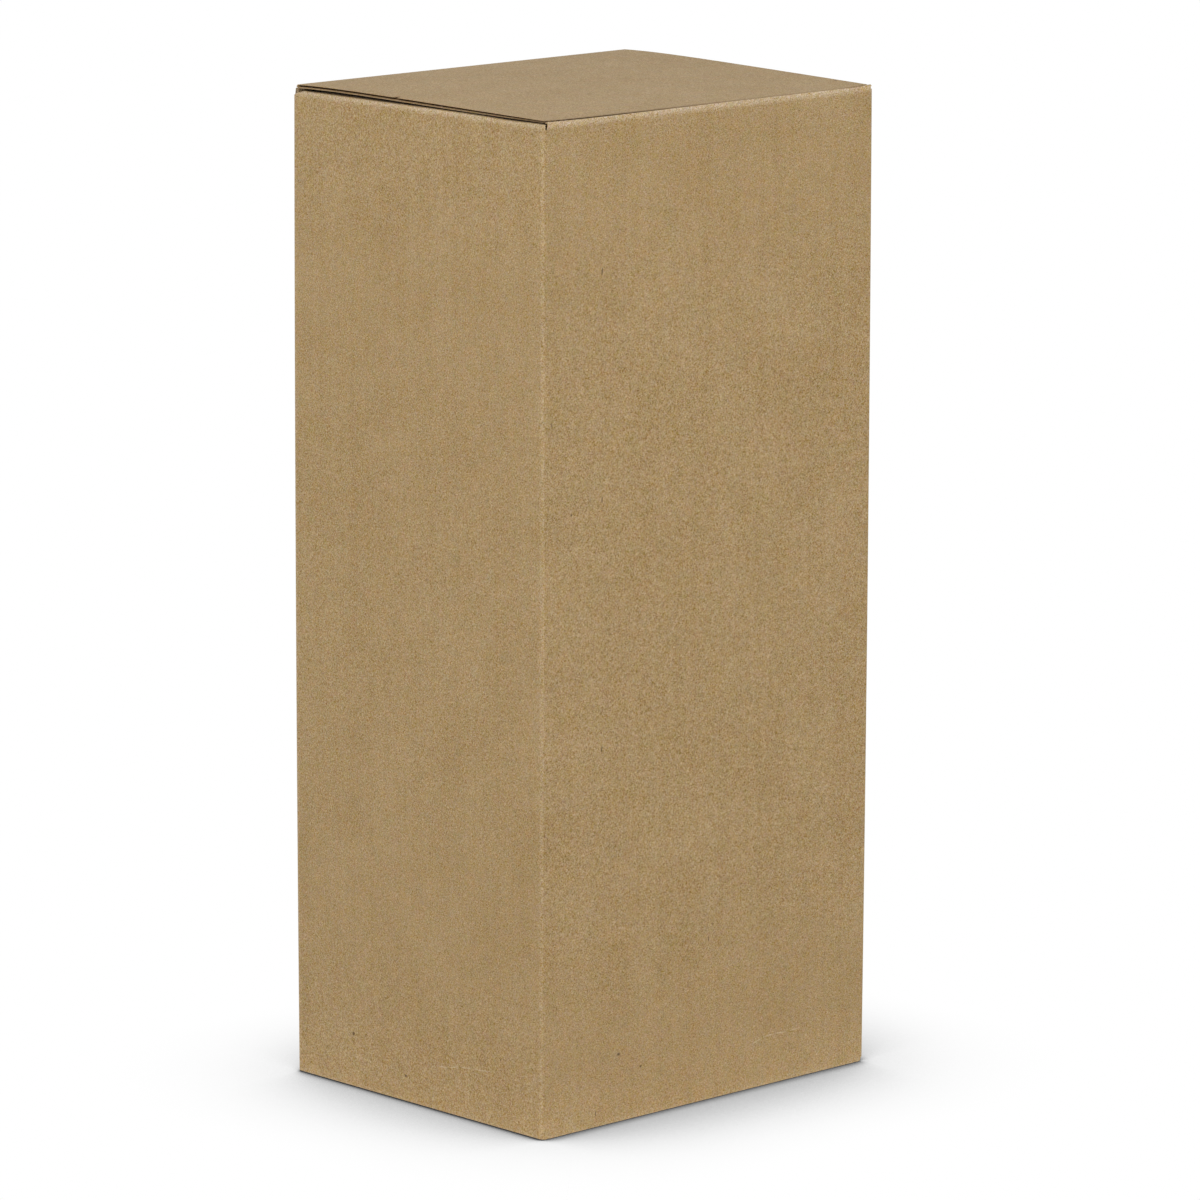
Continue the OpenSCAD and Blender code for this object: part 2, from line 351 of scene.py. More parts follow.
def blend_colors(tree, place, mode, factor, first, second):
    """Mix node for colours. Each operand is a value or a socket."""
    item = add(tree, "ShaderNodeMix", place, data_type="RGBA", blend_type=mode)
    for slot, value in ((0, factor), (6, first), (7, second)):
        if isinstance(value, (int, float, tuple)):
            item.inputs[slot].default_value = value
        else:
            tree.links.new(value, item.inputs[slot])
    return item.outputs[2]


def group(name, inputs, outputs):
    """Empty shader node group with named sockets, and its two end nodes."""
    tree = bpy.data.node_groups.new(name, "ShaderNodeTree")
    for label, kind, value in inputs:
        socket = tree.interface.new_socket(label, in_out="INPUT", socket_type=kind)
        socket.default_value = value
    for label, kind in outputs:
        tree.interface.new_socket(label, in_out="OUTPUT", socket_type=kind)
    return tree, add(tree, "NodeGroupInput", (-8, 0)), add(tree, "NodeGroupOutput", (8, 0))


# Kraft grain: colour and height of the bare paper, from object coordinates in metres.
grain, g_in, g_out = group(
    "kraft_grain",
    [("Paper", "NodeSocketColor", srgb(162, 137, 98)),
     ("Mottle", "NodeSocketFloat", 1.0),
     ("Specks", "NodeSocketFloat", 1.0)],
    [("Color", "NodeSocketColor"), ("Height", "NodeSocketFloat")])
spot = add(grain, "ShaderNodeTexCoord", (-8, 3)).outputs["Object"]


def grain_noise(place, scale, detail, rough, distort, stretch=(1, 1, 1), output="Fac"):
    """Noise on the board's own coordinates, squeezed by stretch."""
    squeeze = add(grain, "ShaderNodeVectorMath", (place[0] - 1, place[1]), operation="MULTIPLY")
    grain.links.new(spot, squeeze.inputs[0])
    squeeze.inputs[1].default_value = stretch
    noise = add(grain, "ShaderNodeTexNoise", place, Scale=scale, Detail=detail,
                Roughness=rough, Distortion=distort)
    grain.links.new(squeeze.outputs[0], noise.inputs["Vector"])
    return noise.outputs[output]


def ramp(tree, place, source, low, high):
    """Source from low to high, as 0 to 1, eased at both ends."""
    item = add(tree, "ShaderNodeMapRange", place, interpolation_type="SMOOTHSTEP")
    tree.links.new(source, item.inputs["Value"])
    item.inputs["From Min"].default_value = low
    item.inputs["From Max"].default_value = high
    return item.outputs["Result"]


def scattered(place, cell, size, share, stretch):
    """Mask of small marks: one in some cells of the given length, size across."""
    squeeze = add(grain, "ShaderNodeVectorMath", (place[0] - 1, place[1]), operation="MULTIPLY")
    grain.links.new(spot, squeeze.inputs[0])
    squeeze.inputs[1].default_value = stretch
    cells = add(grain, "ShaderNodeTexVoronoi", place, Scale=1 / cell, Randomness=1.0)
    grain.links.new(squeeze.outputs[0], cells.inputs["Vector"])
    edge = size / cell
    near = ramp(grain, (place[0] + 1, place[1]), cells.outputs["Distance"], edge, 0.45 * edge)
    pick = add(grain, "ShaderNodeSeparateColor", (place[0] + 1, place[1] + 0.5))
    grain.links.new(cells.outputs["Color"], pick.inputs[0])
    chosen = calc(grain, (place[0] + 2, place[1] + 0.5), "LESS_THAN", pick.outputs[0], share)
    return calc(grain, (place[0] + 3, place[1]), "MULTIPLY", near, chosen)


fibres = grain_noise((-5, 0), scale=1480, detail=3.0, rough=0.65, distort=0.8)
fuzz = grain_noise((-5, 1), scale=2600, detail=1.0, rough=0.5, distort=0.3)
patches = grain_noise((-5, 2), scale=210, detail=2.0, rough=0.6, distort=0.5)
cloud = grain_noise((-5, 3), scale=34, detail=3.0, rough=0.55, distort=0.3)
streaks = grain_noise((-4, 3), scale=260, detail=1.0, rough=0.5, distort=0.0,
                      stretch=(1, 1, 0.02))
tints = grain_noise((-4, 0), scale=1250, detail=2.0, rough=0.6, distort=0.8, output="Color")
wide_tints = grain_noise((-4, 2), scale=190, detail=2.0, rough=0.6, distort=0.6,
                         output="Color")
specks = scattered((-5, 4), cell=3.4 * MM, size=0.40 * MM, share=0.30, stretch=(1, 1, 1))
big_specks = scattered((-5, 5), cell=17 * MM, size=0.75 * MM, share=0.30, stretch=(1, 1, 1))
shives = scattered((-5, 6), cell=26 * MM, size=1.1 * MM, share=0.22, stretch=(3.2, 3.2, 0.62))
pale = scattered((-5, 7), cell=6.5 * MM, size=0.45 * MM, share=0.35, stretch=(1.0, 1.6, 0.8))

# Light and dark first, then the two tints: fibres differ in warmth more than in blue.
middle_gray = 0.5
light = 0.0
light_shares = ((fibres, 1.9), (fuzz, 1.55), (patches, 0.15), (cloud, 0.22), (streaks, 0.12))
for row, (layer, share) in enumerate(light_shares):
    off_middle = calc(grain, (-3, row), "SUBTRACT", layer, middle_gray)
    light = calc(grain, (-2, row), "MULTIPLY_ADD", off_middle, share, light)
light = calc(grain, (-1, 0), "MULTIPLY", light, g_in.outputs["Mottle"])
shade = add(grain, "ShaderNodeVectorMath", (0, 0), operation="MULTIPLY_ADD")
grain.links.new(light, shade.inputs[0])
shade.inputs[1].default_value = (0.84, 1.1, 1.76)  # shadows between fibres are warm
shade.inputs[2].default_value = (1, 1, 1)
tint_shares = ((tints, (0.42, 0, 1.35)), (wide_tints, (0.19, 0, 0.38)))
for column, (layer, share) in enumerate(tint_shares):
    off_middle = add(grain, "ShaderNodeVectorMath", (column, 2), operation="SUBTRACT")
    grain.links.new(layer, off_middle.inputs[0])
    off_middle.inputs[1].default_value = (middle_gray,) * 3
    tinted = add(grain, "ShaderNodeVectorMath", (1 + column, 0), operation="MULTIPLY_ADD")
    grain.links.new(off_middle.outputs[0], tinted.inputs[0])
    tinted.inputs[1].default_value = share
    grain.links.new(shade.outputs[0], tinted.inputs[2])
    shade = tinted
paper = blend_colors(grain, (3, 0), "MULTIPLY", 1.0, g_in.outputs["Paper"], shade.outputs[0])


mark_faces = {                # the axis that a face looks along, and its place on it
    "left": (0, -half_w), "front": (1, -half_d), "lid": (2, carton_h)}
mark_reach = (4 * MM, 4 * MM, 6 * MM)  # how deep a mark reaches, by that axis


def own_marks(column, marks):
    """Mask of single soft marks on the carton: each has a face, its middle, its half sizes
    along and up the face in millimetres, and its tilt in degrees."""
    mask = None
    for row, (face, along, up, half_long, half_high, tilt) in enumerate(marks):
        axis, face_place = mark_faces[face]
        middle, half, angles = [along * MM, up * MM], [half_long * MM, half_high * MM], [0, 0]
        middle.insert(axis, face_place)
        half.insert(axis, mark_reach[axis])
        angles.insert(axis, math.radians(tilt))
        here = add(grain, "ShaderNodeMapping", (column, 9 + row), vector_type="TEXTURE")
        here.inputs["Location"].default_value = middle
        here.inputs["Rotation"].default_value = angles
        here.inputs["Scale"].default_value = half
        grain.links.new(spot, here.inputs["Vector"])
        far = add(grain, "ShaderNodeVectorMath", (column + 1, 9 + row), operation="LENGTH")
        grain.links.new(here.outputs[0], far.inputs[0])
        one = ramp(grain, (column + 2, 9 + row), far.outputs["Value"], 1.0, 0.35)
        mask = one if mask is None else calc(grain, (column + 3, 9 + row), "MAXIMUM", mask, one)
    return mask


own_flecks = own_marks(-5, (
    ("front", -61.5, 355.1, 0.5, 2.1, 10), ("front", -61.3, 262.0, 0.45, 1.9, 6),
    ("front", -61.1, 158.8, 0.45, 1.9, 8), ("front", -50.7, 28.9, 1.2, 0.9, 0),
    ("front", -38.1, 21.5, 0.7, 0.7, 0), ("front", -78.3, 257.7, 0.7, 0.6, 0),
    ("left", 39.9, 23.1, 1.1, 1.1, 20), ("left", 7.3, 11.2, 1.0, 0.8, 0),
    ("lid", 89.5, -57.6, 0.8, 1.4, 0)))
own_scratches = own_marks(0, (
    ("front", 29.2, 20.0, 4.3, 0.4, -17), ("front", 36.7, 21.4, 3.8, 0.4, -2),
    ("front", 43.6, 21.3, 4.8, 0.4, 4), ("front", 52.3, 21.3, 4.5, 0.4, -3),
    ("left", -15.9, 19.5, 3.9, 0.4, -2), ("left", -22.6, 20.8, 4.0, 0.4, -17),
    ("left", -29.9, 21.9, 5.3, 0.4, -4), ("left", -39.9, 22.7, 7.0, 0.4, -5),
    ("front", -51.6, 245.0, 0.5, 0.9, 0)))
for row, (mask, strength, color) in enumerate((
        (specks, 0.42, srgb(96, 74, 44)), (big_specks, 0.5, srgb(92, 70, 42)),
        (shives, 0.75, srgb(84, 64, 44)), (pale, 0.40, srgb(214, 196, 168)),
        (own_flecks, 0.85, srgb(84, 64, 42)), (own_scratches, 0.31, srgb(214, 198, 172)))):
    weight = calc(grain, (3, 2 + row), "MULTIPLY", mask, strength)
    weight = calc(grain, (4, 2 + row), "MULTIPLY", weight, g_in.outputs["Specks"])
    paper = blend_colors(grain, (5, row), "MIX", weight, paper, color)
grain.links.new(paper, g_out.inputs["Color"])
height = calc(grain, (5, 5), "MULTIPLY_ADD", fuzz, 0.35, fibres)
grain.links.new(height, g_out.inputs["Height"])

# Fold wear and painted highlight: up to 1 on the carton's folded edges, fading over a couple of
# millimetres, where the liner is paler. On the upright corners and the top folds it is partly
# stretched-liner wear and partly a painted highlight. At the foot it is partly wear and partly
# painted light from the floor's bounce. In the lid's pressed score line a second mask, up to 1,
# gives painted shade in its groove.
# Each band runs from the place where its mask is 0 to the place where it is 1.
side_wear_highlight_band = (1.2 * MM, 0.7 * MM)
face_wear_highlight_band = (2.8 * MM, 1.2 * MM)
outer_wear_light_band = (2.2 * MM, 1.6 * MM)
top_wear_highlight_band = (4.3 * MM, 1.5 * MM)
foot_wear_bounce_band = (3.0 * MM, 0.8 * MM)
crease_shade_band = (4.2 * MM, 2.2 * MM)
# The upright folds' pale band is partly wear and partly a painted highlight. The foot's is
# partly wear and partly painted light from the floor's bounce.
upright_wear_highlight, foot_wear_bounce = 0.26, 0.15
wear_highlight_shade, r_in, r_out = group(
    "fold_wear_highlight_shade",
    [("Half Width", "NodeSocketFloat", half_w),
     ("Half Depth", "NodeSocketFloat", half_d),
     ("Height", "NodeSocketFloat", crease_top)],
    [("Mask", "NodeSocketFloat"), ("Crease", "NodeSocketFloat")])
corners = add(wear_highlight_shade, "ShaderNodeTexCoord", (-8, 2))
axes = add(wear_highlight_shade, "ShaderNodeSeparateXYZ", (-7, 0))
wear_highlight_shade.links.new(corners.outputs["Object"], axes.inputs[0])
facing = add(wear_highlight_shade, "ShaderNodeSeparateXYZ", (-7, 3))
wear_highlight_shade.links.new(corners.outputs["Normal"], facing.inputs[0])
out_x = calc(wear_highlight_shade, (-6, 0), "ABSOLUTE", axes.outputs[0])
out_y = calc(wear_highlight_shade, (-6, 1), "ABSOLUTE", axes.outputs[1])
short_x = calc(wear_highlight_shade, (-5, 0), "SUBTRACT", r_in.outputs["Half Width"], out_x)
short_y = calc(wear_highlight_shade, (-5, 1), "SUBTRACT", r_in.outputs["Half Depth"], out_y)
short_z = calc(wear_highlight_shade, (-5, 2), "SUBTRACT", r_in.outputs["Height"], axes.outputs[2])
at_side = ramp(wear_highlight_shade, (-4, 0), short_x, *side_wear_highlight_band)
at_face = ramp(wear_highlight_shade, (-4, 1), short_y, *face_wear_highlight_band)
at_corner = calc(wear_highlight_shade, (-3, 1), "MULTIPLY", at_side, at_face)
upright = calc(wear_highlight_shade, (-3, 0), "MULTIPLY", at_corner, upright_wear_highlight)
outside = calc(wear_highlight_shade, (-4, 3), "MINIMUM", short_x, short_y)
outside = ramp(wear_highlight_shade, (-3, 3), outside, *outer_wear_light_band)
# The pale band on the level folds, partly wear and partly painted light, fades out where a fold
# faces up.
sideways = ramp(wear_highlight_shade, (-4, 4), facing.outputs[2], 0.99, 0.86)
under_top = ramp(wear_highlight_shade, (-4, 2), short_z, *top_wear_highlight_band)
above_foot = ramp(wear_highlight_shade, (-4, 5), axes.outputs[2], *foot_wear_bounce_band)
above_foot = calc(wear_highlight_shade, (-3, 5), "MULTIPLY", above_foot, foot_wear_bounce)
level_folds = calc(wear_highlight_shade, (-2, 2), "MAXIMUM", under_top, above_foot)
level_folds = calc(wear_highlight_shade, (-1, 2), "MULTIPLY", level_folds, outside)
level_folds = calc(wear_highlight_shade, (0, 2), "MULTIPLY", level_folds, sideways)
wear_highlight_shade.links.new(calc(wear_highlight_shade, (1, 0), "MAXIMUM", upright, level_folds), r_out.inputs["Mask"])
# Painted shade: the lid's score line is darkened on faces turned up near the front, most at the
# left and weaker towards the right.
from_crease = calc(wear_highlight_shade, (-4, 7), "ADD", axes.outputs[1], r_in.outputs["Half Depth"])
scored = ramp(wear_highlight_shade, (-3, 7), from_crease, *crease_shade_band)
facing_up = ramp(wear_highlight_shade, (-3, 8), facing.outputs[2], 0.8, 0.95)
scored = calc(wear_highlight_shade, (-2, 7), "MULTIPLY", scored, facing_up)
fading = ramp(wear_highlight_shade, (-3, 9), axes.outputs[0], 1.5 * half_w, -half_w)
wear_highlight_shade.links.new(calc(wear_highlight_shade, (0, 7), "MULTIPLY", scored, fading), r_out.inputs["Crease"])

# The three papers of the board. The fluting is coloured far darker than its paper, a painted
# shade for its narrow flute channels.
# The folds' pale colour is partly worn liner and partly painted highlight. The dark colour
# after it, with its strength, is painted shade in the lid's crease groove.
wear_and_highlight_color = srgb(208, 188, 158)
crease_shade_color = srgb(96, 70, 42)
crease_shade_strength = 0.5
fibre_bump = 0.05 * MM


def paper_material(name, paper_color, mottle, speckle, wear_and_highlight, bump, rough, shine=0.0):
    """Kraft paper from the grain group and the fold group's wear, painted highlight and painted
    crease shade, with its own colour and strengths.
    """
    material = bpy.data.materials.new(name)
    material.use_nodes = True
    tree = material.node_tree
    surface = tree.nodes["Principled BSDF"]
    fibres = add(tree, "ShaderNodeGroup", (-3, 0), node_tree=grain)
    fibres.inputs["Paper"].default_value = paper_color
    fibres.inputs["Mottle"].default_value = mottle
    fibres.inputs["Specks"].default_value = speckle
    if wear_and_highlight > 0:
        # The fold group gives the pale band, partly wear and partly painted highlight, and the
        # crease's painted shade.
        worn = add(tree, "ShaderNodeGroup", (-6, 0), node_tree=wear_highlight_shade)
        pale_amount = calc(tree, (-5, 0), "MULTIPLY", worn.outputs["Mask"], wear_and_highlight)
        worn_and_highlight_paper = blend_colors(tree, (-4, 0), "MIX", pale_amount, paper_color,
                                  wear_and_highlight_color)
        crease_shade_amount = calc(tree, (-5, 2), "MULTIPLY", worn.outputs["Crease"], crease_shade_strength)
        crease_shaded_paper = blend_colors(tree, (-4, 2), "MIX", crease_shade_amount, worn_and_highlight_paper,
                                     crease_shade_color)
        tree.links.new(crease_shaded_paper, fibres.inputs["Paper"])
    tree.links.new(fibres.outputs["Color"], surface.inputs["Base Color"])
    bumps = add(tree, "ShaderNodeBump", (-2, 3), Strength=bump, Distance=fibre_bump)
    tree.links.new(fibres.outputs["Height"], bumps.inputs["Height"])
    tree.links.new(bumps.outputs["Normal"], surface.inputs["Normal"])
    surface.inputs["Roughness"].default_value = rough
    surface.inputs["Specular IOR Level"].default_value = 0.12 + shine
    surface.inputs["Sheen Weight"].default_value = 0.5 * shine
    surface.inputs["Sheen Roughness"].default_value = 0.45
    return material


kraft_liner = paper_material("kraft_liner", srgb(162, 136, 95), mottle=1.0, speckle=1.0,
                             wear_and_highlight=0.47, bump=0.6, rough=0.74, shine=0.11)
cut_edge = paper_material("cut_edge", srgb(164, 138, 104), mottle=0.6, speckle=0.3,
                          wear_and_highlight=0.0, bump=0.6, rough=0.85)
# Painted shade: the fluting is far darker than kraft paper, for its shaded channels.
fluting = paper_material("fluting", srgb(78, 56, 32), mottle=0.7, speckle=0.6,
                         wear_and_highlight=0.0, bump=0.8, rough=0.85)

# The strip itself, from the back wall's cut end round to the glue tab. A short slit runs
# down the left front corner, where the lid's crease ends.
slit = (1.3 * MM, 2.6 * MM)  # its two sides, along the corner's fold
slit_low = crease_top - 3.4 * MM
slit_inside = 2.2 * MM       # the slit is torn wider in the inner liner
back_start = (half_w - joint_setback, half_d)
back_run = carton_w - joint_setback - fold_r
front_run = carton_w - 2 * fold_r
narrow_run = carton_d - 2 * fold_r
strip = FoldedPath(back_start, 180)
strip.go(back_run, wall_step, "back", from_start=True)
strip.fold(90, "corner").go(narrow_run, wall_step, "narrow")
strip.fold(90, "slit corner", steps=2 * fold_steps)
strip.go(front_run, wall_step, "front", extra=(slit_inside - cut_step, slit_inside + cut_step))
strip.fold(90, "worn corner").go(narrow_run - board_t, wall_step, "narrow")
strip.fold(90, "corner").go(tab_w, wall_step, "tab")

wall_spans = {
    "back": (foot_r, back_top),
    "narrow": (narrow_low, narrow_high),
    "front": (foot_r, hinge_z),
    "corner": (corner_low, corner_high),
    "worn corner": (worn_corner_low, corner_high),
}


def wall_limits(part, run):
    """Lowest and highest point of the strip at a station."""
    if part == "tab":
        cut = tab_taper * run / tab_w
        return tab_low + cut, tab_high - cut
    if part == "slit corner":
        beyond = hinge_z if run > slit[1] else slit_low
        return corner_low, beyond if run > slit[0] else slit_corner_high
    return wall_spans[part]


def wall_inner_limits(part, run):
    """The same for the inner liner."""
    low, high = wall_limits(part, run)
    torn = part == "slit corner" and run > slit[0] or part == "front" and run < slit_inside
    return low, slit_low if torn else high


# A place puts a path into the scene: its origin, its two axes, and the way across it.
upright_place = ((0, 0, 0), (1, 0, 0), (0, 1, 0), (0, 0, 1))
lid_place = ((0, 0, 0), (0, 1, 0), (0, 0, -1), (1, 0, 0))
front_place = ((0, 0, 0), (0, 1, 0), (0, 0, 1), (1, 0, 0))
back_place = ((0, 0, 0), (0, -1, 0), (0, 0, 1), (-1, 0, 0))
wall_layers = liners(strip.rows, wall_limits, upright_place, columns=56,
                     inner_limits=wall_inner_limits)

# Open flutes: along the back wall's cut top and down its cut end at the joint.
fine_step = flute_pitch / 10
flutes_low = back_top - 14 * MM      # where the one stretch of medium meets the other
flutes_high = back_top - 0.02 * MM   # the medium ends just inside the cut
joint_stations = 16                  # the stretch down the joint is this many stations wide
fluted = FoldedPath(back_start, 180)
fluted.mark(0, "back", 0)
for i in range(int(back_run / fine_step)):
    fluted.x -= fine_step
    fluted.mark(0, "back", (i + 1) * fine_step)
for rows, span, columns in ((fluted.rows, (flutes_low, flutes_high), 1),
                            (fluted.rows[:joint_stations], (foot_r, flutes_low), 40)):
    wall_layers += medium(rows, lambda part, run: span, upright_place, columns,
                          upright=True, shift=0.1)

# The lid's crease: the front wall's top edge is rounded over, as thick as the board.
crease_span = (2.3 * MM - half_w, half_w - 1.2 * MM)
crease_t = 0.9 * board_t / 2
crease = FoldedPath((-half_d, -hinge_z), 270)
crease.mark(0, "bead", 0)
crease.fold(180, "bead", radius=board_t / 2, steps=14)
wall_layers.append(ply(crease.rows, lambda part, run: crease_span, lid_place, 60,
                       lambda c, r, w: 0 * w, lambda c: crease_t, liner_finish))
board_piece("wall_sleeve", wall_layers, "carton", "box_body")

# Dust flaps.
# A flap on each narrow wall folds in at the top and lies under the lid. It is cut from
# the same board, with rounded free corners, and its flutes end at its free edge.

dust_len = 62 * MM
dust_front = -half_d + 3 * MM
dust_back = half_d - 8 * MM
dust_taper = math.tan(math.radians(7))
dust_corner_r = 11 * MM
dust_trim = dust_corner_r - 0.6 * MM  # the most that a rounded corner takes off a side
dust_fold = 94               # degrees: the flaps hang a little into the carton
fold_gap = 1.85 * MM         # a fold ends this far from the corner
fold_flare = 1.1 * MM        # and a dust flap's fold widens by this towards its top
flap_step = 8 * MM
corner_steps = 10


def round_end(run, length, radius):
    """How far a rounded corner has drawn in a flap's side at a distance along it."""
    past = max(0.0, run - (length - radius))
    return radius - math.sqrt(max(0.0, radius ** 2 - min(past, radius) ** 2))


def dust_limits(part, run):
    """The two sides of a dust flap at a distance from its fold."""
    if part == "fold":
        half = half_d - fold_gap + fold_flare * math.sin(math.pi / 2 * run / fold_r)
        return -half, half
    trim = min(round_end(run, dust_len - fold_r, dust_corner_r), dust_trim)
    return dust_front + trim, dust_back - dust_taper * run - trim


def end_stations(path, length, radius, part):
    """Straight run whose last stretch has close stations for its rounded corners."""
    path.go(length - radius, flap_step, part)
    one_turn = math.pi / 2 / corner_steps
    for i in range(1, corner_steps + 1):
        turn = math.pi / 2 * i / corner_steps
        step = radius * (math.sin(turn) - math.sin(turn - one_turn))
        path.x += math.cos(path.heading) * step
        path.y += math.sin(path.heading) * step
        path.mark(0, part, length - radius + radius * math.sin(turn))


for side_name, out in (("left", -1), ("right", 1)):
    flap = flap_path((0, -narrow_high), dust_fold)
    end_stations(flap, dust_len - fold_r, dust_corner_r, "flap")
    place = ((out * half_w, 0, 0), (-out, 0, 0), (0, 0, -1), (0, 1, 0))
    layers = liners(flap.rows, dust_limits, place, columns=30)
    layers += medium(flap.rows[fold_steps + 1:], dust_limits, place, columns=420, shift=0.2)
    board_piece("dust_flap_" + side_name, layers, "carton", "box_body")

# Snap-lock bottom.
# Four flaps lock into each other with no glue or tape. The front wall's lock flap lies
# outermost, and its tongue goes up over the floor of the slot in the back wall's flap.
# The two side flaps lie between them.

mitre = 22 * MM              # the flaps are cut at 45 degrees as far as this
lock_root = half_w - fold_gap
lock_len = 70 * MM
shoulder = 6 * MM            # cut off at 45 degrees on each side of the tongue's root
tongue_len = 54 * MM
tongue_half = 47 * MM
tongue_end_half = tongue_half - 15 * MM
tongue_corner_r = 16 * MM
tongue_bend = 9              # degrees, upwards
slot_floor = 44 * MM
slotted_fold = 94.2          # degrees: this flap rises a little over the side flaps
leg_len = 94 * MM
leg_in = tongue_half + 1.5 * MM
leg_out = half_w - board_t - 1 * MM
leg_cut_len = 14 * MM
leg_cut_w = 9 * MM
side_len = 43 * MM
side_fold = 93.1             # degrees
side_front = -half_d + 4 * MM
side_back = half_d - 29 * MM
side_slant = (2 * MM, mitre - 1 * MM)  # the front side slants between these two
side_back_slope = 0.754


def lock_limits(part, run):
    """The two sides of the lock flap and of its tongue."""
    if part == "tongue":
        half = max(tongue_half - round_end(run, tongue_len, tongue_corner_r), tongue_end_half)
    elif part == "fold":
        half = lock_root
    else:
        half = lock_root - min(run, mitre) - max(0.0, run - (lock_len - shoulder))
    return -half, half


foot_start = (-half_d, foot_r)
lock = flap_path(foot_start, 90, foot_r).go(mitre, 2 * MM, "flap")
lock_steps = 8
for i in range(1, lock_steps + 1):
    lock.x += (lock_len - mitre) / lock_steps
    lock.mark(0, "flap", mitre + (lock_len - mitre) * i / lock_steps)
lock.heading += math.radians(tongue_bend)
end_stations(lock, tongue_len, tongue_corner_r, "tongue")
bottom_layers = liners(lock.rows, lock_limits, front_place, columns=24)
bottom_layers += medium(lock.rows[fold_steps + 1:], lock_limits, front_place, columns=420)

slotted = flap_path(foot_start, slotted_fold, foot_r).go(slot_floor, wall_step, "flap")


def slotted_limits(part, run):
    """The two sides of the slotted flap up to the floor of its slot."""
    half = lock_root if part == "fold" else leg_out
    return -half, half


bottom_layers += liners(slotted.rows, slotted_limits, back_place, columns=24)
by_slot = slotted.rows[-3:]  # the medium shows only here, at the slot's floor
bottom_layers += medium(by_slot, slotted_limits, back_place, columns=440)

leg_run = leg_len - slot_floor
leg = FoldedPath((slotted.x, slotted.y), math.degrees(slotted.heading))
leg.go(leg_run, 4 * MM, "leg", from_start=True)


def leg_limits(part, run):
    """The two sides of a leg, with its outer corner cut off."""
    past_cut = max(0.0, run - (leg_run - leg_cut_len))
    return leg_in, leg_out - past_cut * leg_cut_w / leg_cut_len


def mirrored(limits):
    """The same limits on the other side of the middle."""
    def turned(part, run):
        low, high = limits(part, run)
        return -high, -low
    return turned


for limits in (leg_limits, mirrored(leg_limits)):
    bottom_layers += liners(leg.rows, limits, back_place, columns=8)
    bottom_layers += medium(leg.rows, limits, back_place, columns=110)


def side_limits(part, run):
    """The two sides of a side flap: slanted at the front and at the back."""
    if part == "fold":
        return -half_d + fold_gap, half_d - fold_gap
    slanted = max(0.0, min(run, side_slant[1]) - side_slant[0])
    return side_front + slanted, side_back - side_back_slope * run


for out in (-1, 1):
    side = flap_path((0, narrow_low), side_fold, foot_r).go(side_len, 3 * MM, "flap")
    place = ((out * half_w, 0, 0), (-out, 0, 0), (0, 0, 1), (0, 1, 0))
    bottom_layers += liners(side.rows, side_limits, place, columns=20)
    bottom_layers += medium(side.rows[fold_steps + 1:], side_limits, place, columns=290)
board_piece("snap_lock_bottom", bottom_layers, "carton", "box_body")

# Lid and tuck flap.
# The lid is the same sheet, creased on the front wall, with close stations over its first few
# millimetres. Its two cut sides show the liners and the flutes, and its tuck flap goes down
# inside the back wall.

lid_half = half_w - 0.5 * MM
lid_front = -half_d + board_t + 0.2 * MM
lid_back = half_d - board_t - 0.15 * MM
lid_step = 2.5 * MM
tuck_r = 1.1 * MM            # outer radius of the tuck fold
tuck_fold = 95               # degrees
tuck_len = 20 * MM
tuck_root = lid_half - 0.3 * MM
tuck_half = lid_half - 2.7 * MM
tuck_corner_r = 13 * MM
tuck_trim = tuck_corner_r - 0.8 * MM


def lid_limits(part, run):
    """The two sides of the lid and of its tuck flap."""
    if part == "panel":
        half = lid_half
    elif part == "fold":
        half = tuck_root
    else:
        half = tuck_half - min(round_end(run, tuck_len, tuck_corner_r), tuck_trim)
    return -half, half


nick_at = 88 * MM            # a small nick in the lid's left cut edge
nick_half = 1.3 * MM
nick_depth = 3 * MM
inner_drawn, inner_fade = 1.1 * MM, 55 * MM


def lid_outer_limits(part, run):
    """The lid's sides in its outer liner, which the nick reaches into."""
    low, high = lid_limits(part, run)
    if part == "panel" and abs(run - nick_at) < nick_half * 0.9:
        low += nick_depth
    return low, high


def lid_inner_limits(part, run):
    """The lid's sides in its inner liner, which is drawn in towards the crease."""
    low, high = lid_limits(part, run)
    drawn = inner_drawn * math.exp(-(run / inner_fade) ** 2) if part == "panel" else 0
    return low + drawn, high - drawn


# How the closed lid lies. Heights and depths are in millimetres.
lid_rise = 2.35              # from its hinge to its tuck fold
tuck_pull = 1.2              # and down again, close to the tuck fold
crease_press = 0.36          # share of its thickness that the lid loses at the crease
press_end = 0.4              # share of the lid's depth where that loss ends
crease_narrow = 1.5          # drawn in on each side at the crease
cut_wear, cut_ripple = 0.05, 0.04
ripples = ((1.0, 410, 0.0), (0.6, 1130, 1.3), (0.4, 2310, 0.4))  # height, pace, start
worn_rim = 1 * MM


def lie_closed(points):
    """The closed lid rises from its hinge, is pulled down at its tuck fold, and is
    pressed thinner towards the crease. Its cut sides are worn and run in to the crease."""
    x, y, z = points.T
    from_hinge = y / carton_d + 0.5
    rise = lid_rise * from_hinge - tuck_pull * from_hinge ** 8
    top = crease_top + rise * MM - sink(x, y)
    pressed = 1 - crease_press * np.clip(1 - from_hinge / press_end, 0, 1) ** 2
    points[:, 2] = top - (carton_h - z) * pressed
    at_cut = np.clip((np.abs(x) - lid_half + worn_rim) / worn_rim, 0, 1)
    wear = sum(tall * np.sin(y * pace + start) for tall, pace, start in ripples)
    taper = crease_narrow * np.clip(1 - from_hinge, 0, 1) * np.abs(x) / lid_half
    points[:, 0] -= np.sign(x) * (taper + at_cut * (cut_wear + cut_ripple * wear)) * MM
    return bow(points)


